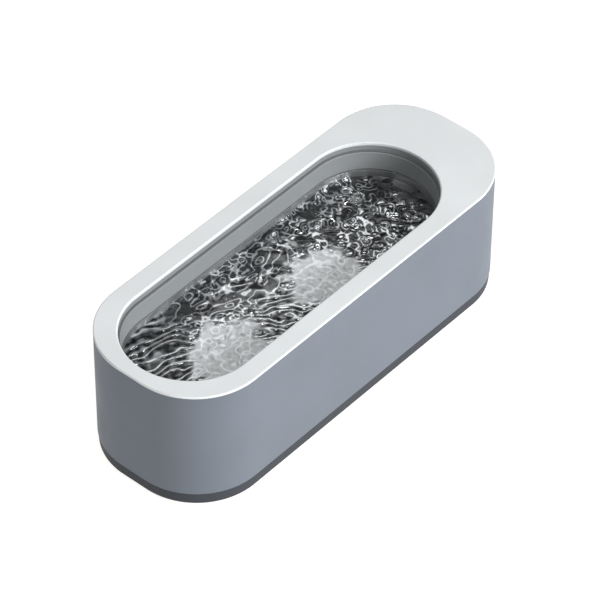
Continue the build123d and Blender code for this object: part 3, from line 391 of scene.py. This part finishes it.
class Waves:
    """Every random field at the grid's points. The order of the draws fixes the pattern."""

    def __init__(self, x, y):
        rng = np.random.default_rng(RIPPLE_SEED)
        self.drift = RandomWaves(rng, DRIFT_LENGTH, DRIFT_SPREAD, DRIFT_COUNT).at(x, y)
        self.swell = RandomWaves(rng, SWELL_LENGTH).at(x, y)
        self.ripple = RandomWaves(rng, RIPPLE_LENGTH).at(x, y)
        self.chop = RandomWaves(rng, CHOP_LENGTH).at(x, y)
        self.fine_chop = RandomWaves(rng, FINE_CHOP_LENGTH).at(x, y)
        self.streaks = RandomWaves(rng, STREAK_LENGTH).at(weighted(STREAK_MIX, x, y), y)
        self.rings = drop_rings(rng, x, y)


# ======== Water: the two pale patches ========
PATCH_TURN = math.radians(30)
PATCH_EDGE = (0.78, 1.10)  # in patch radii
PATCH_TEAR = (0.07, 0.05, 0.02)  # of swell, ripple and chop
NEAR_PATCH_CENTRE = (FRONT_X + 0.0005, -0.0075)
NEAR_PATCH_SIZE = (0.0190, 0.0160)
FAR_PATCH_CENTRE = (REAR_X - 0.0255, -0.0085)
FAR_PATCH_SIZE = (0.0175, 0.0165)


def patch_mask(x, y, centre, size, tear):
    """1 inside a pale patch, 0 outside, with a torn edge."""
    cosine, sine = math.cos(PATCH_TURN), math.sin(PATCH_TURN)
    u = ((x - centre[0]) * cosine + (y - centre[1]) * sine) / size[0]
    v = ((y - centre[1]) * cosine - (x - centre[0]) * sine) / size[1]
    return 1.0 - smooth_step(np.hypot(u, v) + tear, *PATCH_EDGE)


def both_patches(x, y, waves):
    """1 inside either patch."""
    tear = weighted(PATCH_TEAR, waves.swell, waves.ripple, waves.chop)
    near = patch_mask(x, y, NEAR_PATCH_CENTRE, NEAR_PATCH_SIZE, tear)
    far = patch_mask(x, y, FAR_PATCH_CENTRE, FAR_PATCH_SIZE, tear)
    return np.maximum(near, far)


# ======== Water: zones ========
# Turbulence fills the far third; the last few millimetres and the near half are calmer.
TURBULENT_START = (0.012, 0.024)
TURBULENT_LEAN = 0.35
CALM_END_START = (0.061, 0.068)
NEAR_ZONE_END = (-0.064, -0.052)
NEAR_ZONE_LEAN = 0.2
FAR_SIDE_START = (-0.002, 0.006)
FAR_SIDE_WAVER = 0.002


class Zones:
    """How far each point belongs to each zone, from 0 to 1."""

    def __init__(self, x, y, waves):
        self.calm_end = smooth_step(x, *CALM_END_START)
        self.turbulent = smooth_step(x + TURBULENT_LEAN * y, *TURBULENT_START) * (1 - self.calm_end)
        self.near = 1 - smooth_step(x - NEAR_ZONE_LEAN * y, *NEAR_ZONE_END)
        self.middle = (1 - self.turbulent) * (1 - self.near) * (1 - self.calm_end)
        self.far_side = smooth_step(y + FAR_SIDE_WAVER * waves.drift, *FAR_SIDE_START)


# ======== Water: crest patterns ========
# Bands run round the near end as rings that the swell bends. Their centre is outside the pan.
BAND_CENTRE_BACK = 0.017
BAND_CENTRE_SIDE = 0.023
BAND_MIX = (1.0, 0.0009, 0.0004)  # of radius, swell and ripple
BAND_SPACING = 0.0036
STRIPE_MIX = (0.60, 0.80, 0.0013, 0.0007)  # of x, y, swell and ripple
STRIPE_SPACING = 0.0032
LOOP_MIX = (2.6, 0.7, 1.2)  # of streaks, chop and drift
KNOT_MIX = (2.3, 1.6, 0.3)  # of chop, ripple and fine chop
PALE_LINE_MIX = (2.0, 2.0, 0.8)  # of ripple, swell and chop


class Crests:
    """Patterns from -1 in a trough to 1 on a crest."""

    def __init__(self, x, y, waves):
        radius = np.hypot(x - NEAR_CENTRE + BAND_CENTRE_BACK, y + BAND_CENTRE_SIDE)
        band_place = weighted(BAND_MIX, radius, waves.swell, waves.ripple)
        self.bands = np.cos(2 * math.pi * band_place / BAND_SPACING)
        stripe_place = weighted(STRIPE_MIX, x, y, waves.swell, waves.ripple)
        self.stripes = np.cos(2 * math.pi * stripe_place / STRIPE_SPACING)
        # Loops, knots and pale lines only place painted glints; the heights don't use them.
        self.loops = np.cos(weighted(LOOP_MIX, waves.streaks, waves.chop, waves.drift))
        self.knots = np.cos(weighted(KNOT_MIX, waves.chop, waves.ripple, waves.fine_chop))
        self.pale_lines = np.cos(weighted(PALE_LINE_MIX, waves.ripple, waves.swell, waves.chop))


# ======== Water: painted reflection, from 0 (black, painted dark reflection) to 1 (white, painted glint) ===
NEAR_CREST = (0.45, 0.95)
NEAR_TROUGH = (0.3, 0.9)
NEAR_MIX = (0.15, 0.34, -0.12, 0.06)  # of the whole, crests, troughs and chop

LOOP_CREST = (0.55, 0.98)
LOOP_RIPPLE = (0.3, 1.4)
LOOP_TONE_MIX = (0.05, 0.44, 0.05)  # of the whole, crests and ripple
LOOP_KNOT = (0.6, 0.98)
LOOP_KNOT_PLACE = (-0.4, 0.6)
LOOP_KNOT_GAIN = 0.5

STRIPE_TONE_MIX = (0.34, 0.30, 0.08)  # of the whole, stripes and chop

TURBULENT_TONE = 0.05
TURBULENT_KNOT = (0.15, 0.95)
TURBULENT_KNOT_PLACE = (-2.2, 1.0)
TURBULENT_KNOT_GAIN = 0.62
PLACE_RIPPLE = 0.5
SPLASH_GLINT_CHOP = 0.6
SPLASH_GLINT = (1.9, 2.3)
SPLASH_GLINT_MIX = (0.35, 0.6)  # of rings and splash glints, both painted glints

CALM_PAINTED_DARK = (0.9, 1.3)
CALM_MIX = (0.17, 0.04, -0.14)  # of the whole, swell and painted dark marks

PALE_CREST = (0.4, 0.98)
PALE_FINE_CHOP = 0.5
PALE_PAINTED_DARK_SPOT = (1.2, 2.2)
PALE_MIX = (0.61, 0.26, -0.20, 0.04)  # of the whole, painted glint lines, painted dark spots and fine chop


# Painted glints along the band crests and painted dark reflection in their troughs.
def near_tone(waves, crests):
    light = smooth_step(crests.bands, *NEAR_CREST)
    dark = smooth_step(-crests.bands, *NEAR_TROUGH)
    return weighted(NEAR_MIX, 1.0, light, dark, waves.chop)


# Painted glints along the loop crests, with brighter painted glint knots.
def loop_tone(waves, crests):
    light = smooth_step(crests.loops, *LOOP_CREST)
    tone = weighted(LOOP_TONE_MIX, 1.0, light, smooth_step(waves.ripple, *LOOP_RIPPLE))
    knots = LOOP_KNOT_GAIN * smooth_step(crests.knots, *LOOP_KNOT)
    return tone + knots * smooth_step(waves.swell + waves.drift, *LOOP_KNOT_PLACE)


# Stripes of painted glint and painted dark reflection.
def stripe_tone(waves, crests):
    return weighted(STRIPE_TONE_MIX, 1.0, crests.stripes, waves.chop)


# Painted glints: bright knots, bright drop rings and bright splash spots over a painted dark reflection.
def turbulent_tone(waves, crests):
    knots = TURBULENT_KNOT_GAIN * smooth_step(crests.knots, *TURBULENT_KNOT)
    places = smooth_step(waves.swell + PLACE_RIPPLE * waves.ripple, *TURBULENT_KNOT_PLACE)
    splash_glints = smooth_step(waves.ripple + SPLASH_GLINT_CHOP * waves.chop, *SPLASH_GLINT)
    return TURBULENT_TONE + knots * places + weighted(SPLASH_GLINT_MIX, waves.rings, splash_glints)


# A faint painted reflection tone with painted dark marks where the ripple field peaks.
def calm_tone(waves):
    return weighted(CALM_MIX, 1.0, waves.swell, smooth_step(waves.ripple, *CALM_PAINTED_DARK))


# A pale tone with painted glint lines and painted dark spots.
def pale_tone(waves, crests):
    lines = smooth_step(crests.pale_lines, *PALE_CREST)
    painted_dark_spots = smooth_step(waves.chop + PALE_FINE_CHOP * waves.fine_chop, *PALE_PAINTED_DARK_SPOT)
    return weighted(PALE_MIX, 1.0, lines, painted_dark_spots, waves.fine_chop)


def water_painted_reflection(zones, waves, crests, pale):
    """The zones' painted reflection tones, from painted dark reflection to painted glints, faded into
    each other, with the pale patches over them.
    """
    far_side = zones.far_side
    sides = far_side * loop_tone(waves, crests) + (1 - far_side) * stripe_tone(waves, crests)
    tone = zones.near * near_tone(waves, crests) + zones.middle * sides
    tone += zones.turbulent * turbulent_tone(waves, crests) + zones.calm_end * calm_tone(waves)
    tone = (1 - pale) * tone + pale * pale_tone(waves, crests)
    return np.clip(tone, 0.0, 1.0)


# ======== Water: heights ========
SWELL_HEIGHT = 0.00020
RIPPLE_HEIGHT = 0.00013
CHOP_HEIGHT = 0.00006
BAND_HEIGHT = 0.00012
STRIPE_HEIGHT = 0.00010
RING_HEIGHT = 0.00022
PALE_CHOP_HEIGHT = 0.00003
PALE_STILLNESS = 0.6
QUIET_SHARE = 0.45
TURBULENT_SHARE = 0.65


def water_height(zones, waves, crests, pale):
    """Height above the still level."""
    lively = np.clip(QUIET_SHARE + TURBULENT_SHARE * zones.turbulent, 0, 1)
    height = SWELL_HEIGHT * waves.swell
    height += lively * (RIPPLE_HEIGHT * waves.ripple + CHOP_HEIGHT * waves.chop)
    bands = zones.near * BAND_HEIGHT * crests.bands
    height += bands + zones.middle * (1 - zones.far_side) * STRIPE_HEIGHT * crests.stripes
    height += RING_HEIGHT * zones.turbulent * waves.rings
    return height * (1 - PALE_STILLNESS * pale) + PALE_CHOP_HEIGHT * pale * waves.chop


# ======== Water: mesh and material ========
WATER_NAME = "tank_water"
PAINTED_REFLECTION_LAYER = "water_painted_reflection"
SPARKLE_SCALE = 700.0
SPARKLE_WARP = 1.0
PAINTED_SPARKLE_TONE = 0.03
SPARKLE_DEPTH = 0.000012
# The water's base colour: a painted dark reflection, and painted silver glints where the tone is high.
PAINTED_DARK_REFLECTION = (0.012, 0.014, 0.016, 1)
PAINTED_SILVER_GLINT = (0.93, 0.96, 0.98, 1)
ROUGHNESS_CLEAR_TO_PALE = (0.07, 0.28)
METALLIC_CLEAR_TO_PALE = (0.75, 0.25)
WATER_IOR = 1.33


def capsule_columns():
    """Each column's x and half width, spaced evenly along the outline."""
    straight = np.arange(NEAR_CENTRE, FAR_CENTRE, GRID_STEP)
    angle = np.arange(math.pi / 2 - TIP_ANGLE, 0.0, -GRID_STEP / WATER_RADIUS)
    round_x, round_y = WATER_RADIUS * np.sin(angle), WATER_RADIUS * np.cos(angle)
    x = np.concatenate([NEAR_CENTRE - round_x, straight, (FAR_CENTRE + round_x)[::-1]])
    half = np.concatenate([round_y, np.full(len(straight), WATER_RADIUS), round_y[::-1]])
    return x, half


def slab_faces(columns, rows):
    """The grid's quads, the points round its rim, and the faces of the skirt and the floor."""
    index = np.arange(columns * rows).reshape(columns, rows)
    corners = [index[:-1, :-1], index[1:, :-1], index[1:, 1:], index[:-1, 1:]]
    quads = np.stack(corners, axis=-1).reshape(-1, 4)
    rim = np.concatenate([index[:, 0], index[-1, 1:], index[-2::-1, -1], index[0, -2:0:-1]])
    low = columns * rows + np.arange(len(rim))
    skirt = np.stack([rim, low, np.roll(low, -1), np.roll(rim, -1)], axis=-1)
    return quads.tolist(), rim, skirt.tolist() + [low[::-1].tolist()]


def make_water():
    """A rippled slab whose grid follows the capsule, with a meniscus round its edge."""
    column_x, column_half = capsule_columns()
    columns, rows = len(column_x), int(2 * WATER_RADIUS / GRID_STEP)
    x = np.repeat(column_x, rows)
    y = np.outer(column_half, np.linspace(-1.0, 1.0, rows)).ravel()

    waves = Waves(x, y)
    zones = Zones(x, y, waves)
    crests = Crests(x, y, waves)
    pale = both_patches(x, y, waves)
    edge = WATER_RADIUS - np.hypot(x - np.clip(x, NEAR_CENTRE, FAR_CENTRE), y)
    height = water_height(zones, waves, crests, pale) * smooth_step(edge, 0.0, STILL_EDGE)
    height += MENISCUS_RISE * np.exp(-edge / MENISCUS_REACH)

    top = np.column_stack([x, y, WATER_LEVEL + height])
    quads, rim, closing_faces = slab_faces(columns, rows)
    low = top[rim].copy()
    low[:, 2] = WATER_LEVEL - WATER_SLAB
    mesh = bpy.data.meshes.new(WATER_NAME)
    mesh.from_pydata(np.vstack([top, low]).tolist(), [], quads + closing_faces)
    smooth = np.zeros(len(quads) + len(closing_faces), dtype=bool)
    smooth[:len(quads)] = True
    mesh.polygons.foreach_set("use_smooth", smooth)

    colours = np.ones((len(top) + len(low), 4))
    # Red holds the painted reflection tone, green how pale each point is.
    colours[:len(top), 0] = water_painted_reflection(zones, waves, crests, pale)
    colours[:len(top), 1] = pale
    layer = mesh.color_attributes.new(PAINTED_REFLECTION_LAYER, "FLOAT_COLOR", "POINT")
    layer.data.foreach_set("color", colours.ravel())
    return bpy.data.objects.new(WATER_NAME, mesh)


def water_material():
    """Mirror-dark water, its darkness a painted dark reflection, whose crests turn silver as painted
    glints, and two pale patches with painted glint lines.
    """
    r = Recipe("water_surface")
    layer = r.add("ShaderNodeVertexColor", layer_name=PAINTED_REFLECTION_LAYER)
    parts = r.add("ShaderNodeSeparateColor")
    r.links.new(layer.outputs["Color"], parts.inputs["Color"])
    tone, pale = parts.outputs["Red"], parts.outputs["Green"]
    # The sparkle noise bumps the surface and also adds a faint painted glitter of glints to the tone.
    sparkle = r.noise(SPARKLE_SCALE, detail=2.0, rough=0.5, warp=SPARKLE_WARP)
    painted_sparkle = r.span(sparkle, *MOST_OF_NOISE, -PAINTED_SPARKLE_TONE, PAINTED_SPARKLE_TONE)
    tone = r.maths("ADD", tone, painted_sparkle, clamp=True)
    r.surface("Base Color", r.mix(tone, PAINTED_DARK_REFLECTION, PAINTED_SILVER_GLINT))
    r.surface("Roughness", r.span(pale, 0.0, 1.0, *ROUGHNESS_CLEAR_TO_PALE))
    r.surface("Metallic", r.span(pale, 0.0, 1.0, *METALLIC_CLEAR_TO_PALE))
    r.surface("Normal", r.bump(sparkle, SPARKLE_DEPTH))
    r.surface("IOR", WATER_IOR)
    return r.material


water = make_water()
water.data.materials.append(water_material())
bpy.context.scene.collection.objects.link(water)
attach(water, HOUSING)


# ======== Floor and world ========
FLOOR_NAME = "studio_floor"
FLOOR_HALF = 6.0
FLOOR_DROP = 0.0001  # keeps the floor out of the feet's own plane
FLOOR_GREYS = ((0.29, 0.29, 0.29, 1), (0.31, 0.31, 0.31, 1))
FLOOR_MOTTLE_SCALE = 3.0
FLOOR_ROUGHNESS = 0.9
FLOOR_GLOW_COLOUR = (1.0, 0.985, 0.965, 1.0)
FLOOR_GLOW = 0.88
WORLD_GLOW = 0.14


def make_floor():
    """A pale floor that glows, so that it stays white round the object's soft shadow."""
    signs = ((-1, -1), (1, -1), (1, 1), (-1, 1))
    corners = [(x * FLOOR_HALF, y * FLOOR_HALF, -FLOOR_DROP) for x, y in signs]
    mesh = bpy.data.meshes.new(FLOOR_NAME)
    mesh.from_pydata(corners, [], [(0, 1, 2, 3)])
    floor = bpy.data.objects.new(FLOOR_NAME, mesh)
    bpy.context.scene.collection.objects.link(floor)
    r = Recipe("studio_white")
    r.surface("Base Color", r.mix(r.noise(FLOOR_MOTTLE_SCALE), *FLOOR_GREYS))
    r.surface("Roughness", FLOOR_ROUGHNESS)
    r.surface("Emission Color", FLOOR_GLOW_COLOUR)
    r.surface("Emission Strength", FLOOR_GLOW)
    floor.data.materials.append(r.material)


def make_world():
    """An even white surround, dim enough to leave the lamps in charge."""
    world = bpy.data.worlds.new("studio")
    world.use_nodes = True
    background = world.node_tree.nodes["Background"]
    background.inputs["Color"].default_value = WHITE
    background.inputs["Strength"].default_value = WORLD_GLOW
    bpy.context.scene.world = world


# ======== Lamps ========
LOOK_AT = (0.0, 0.0, 0.04)
# Azimuth and elevation in degrees, distance, width and height in metres, and power in watts.
LAMPS = {
    "key_softbox": (11, 29, 1.7, 0.9, 0.9, 45.0),
    "end_fill": (-95, 60, 1.5, 0.7, 0.7, 7.0),
    "back_panel": (131, 44, 1.5, 0.75, 0.45, 1.5),
    "glint_strip_low": (120, 22, 1.5, 0.5, 0.05, 0.9),
    "glint_strip_high": (140, 68, 1.5, 0.5, 0.05, 0.9),
}


def bearing(azimuth, elevation, distance):
    """A point that far from the origin, with azimuth measured from -Y towards +X."""
    flat = distance * math.cos(math.radians(elevation))
    turn = math.radians(azimuth)
    return (flat * math.sin(turn), -flat * math.cos(turn), distance * math.sin(math.radians(elevation)))


def area_light(name, place, width, height, watts):
    """A white rectangle of light that faces the object."""
    data = bpy.data.lights.new(name, "AREA")
    data.shape = "RECTANGLE"
    data.size, data.size_y = width, height
    data.energy = watts
    lamp = bpy.data.objects.new(name, data)
    lamp.location = place
    lamp.rotation_mode = "QUATERNION"
    lamp.rotation_quaternion = (Vector(LOOK_AT) - Vector(place)).to_track_quat("-Z", "Y")
    bpy.context.scene.collection.objects.link(lamp)


# ======== Camera ========
AZIMUTH = math.radians(-49.245)
ELEVATION = math.radians(43.612)
ROLL = math.radians(-0.389)
CAMERA_DISTANCE = 1.4937
CAMERA_LENS = 219.32
SENSOR = 36.0
CLIP_START = 0.1
CLIP_END = 50.0
AIM_HEIGHT = 0.0308
AIM_RIGHT = 0.000565
AIM_UP = -0.000489


def make_camera():
    """A long lens on the object's middle, with no shift and no depth of field."""
    data = bpy.data.cameras.new("camera")
    data.lens = CAMERA_LENS
    data.sensor_width = SENSOR
    data.clip_start, data.clip_end = CLIP_START, CLIP_END
    camera = bpy.data.objects.new("camera", data)
    right = Vector((math.cos(AZIMUTH), math.sin(AZIMUTH), 0.0))
    back = Vector((
        math.sin(AZIMUTH) * math.cos(ELEVATION),
        -math.cos(AZIMUTH) * math.cos(ELEVATION),
        math.sin(ELEVATION),
    ))
    up = back.cross(right)
    tilted_right = right * math.cos(ROLL) - up * math.sin(ROLL)
    tilted_up = right * math.sin(ROLL) + up * math.cos(ROLL)
    aim = Vector((0.0, 0.0, AIM_HEIGHT)) + tilted_right * AIM_RIGHT + tilted_up * AIM_UP
    place = aim + back * CAMERA_DISTANCE
    turn = Matrix((tilted_right, tilted_up, back)).transposed().to_4x4()
    camera.matrix_world = Matrix.Translation(place) @ turn
    bpy.context.scene.collection.objects.link(camera)
    bpy.context.scene.camera = camera


make_floor()
make_world()
for lamp_name, (azimuth, elevation, distance, width, height, watts) in LAMPS.items():
    area_light(lamp_name, bearing(azimuth, elevation, distance), width, height, watts)
make_camera()
bpy.context.scene.view_settings.view_transform = "Standard"
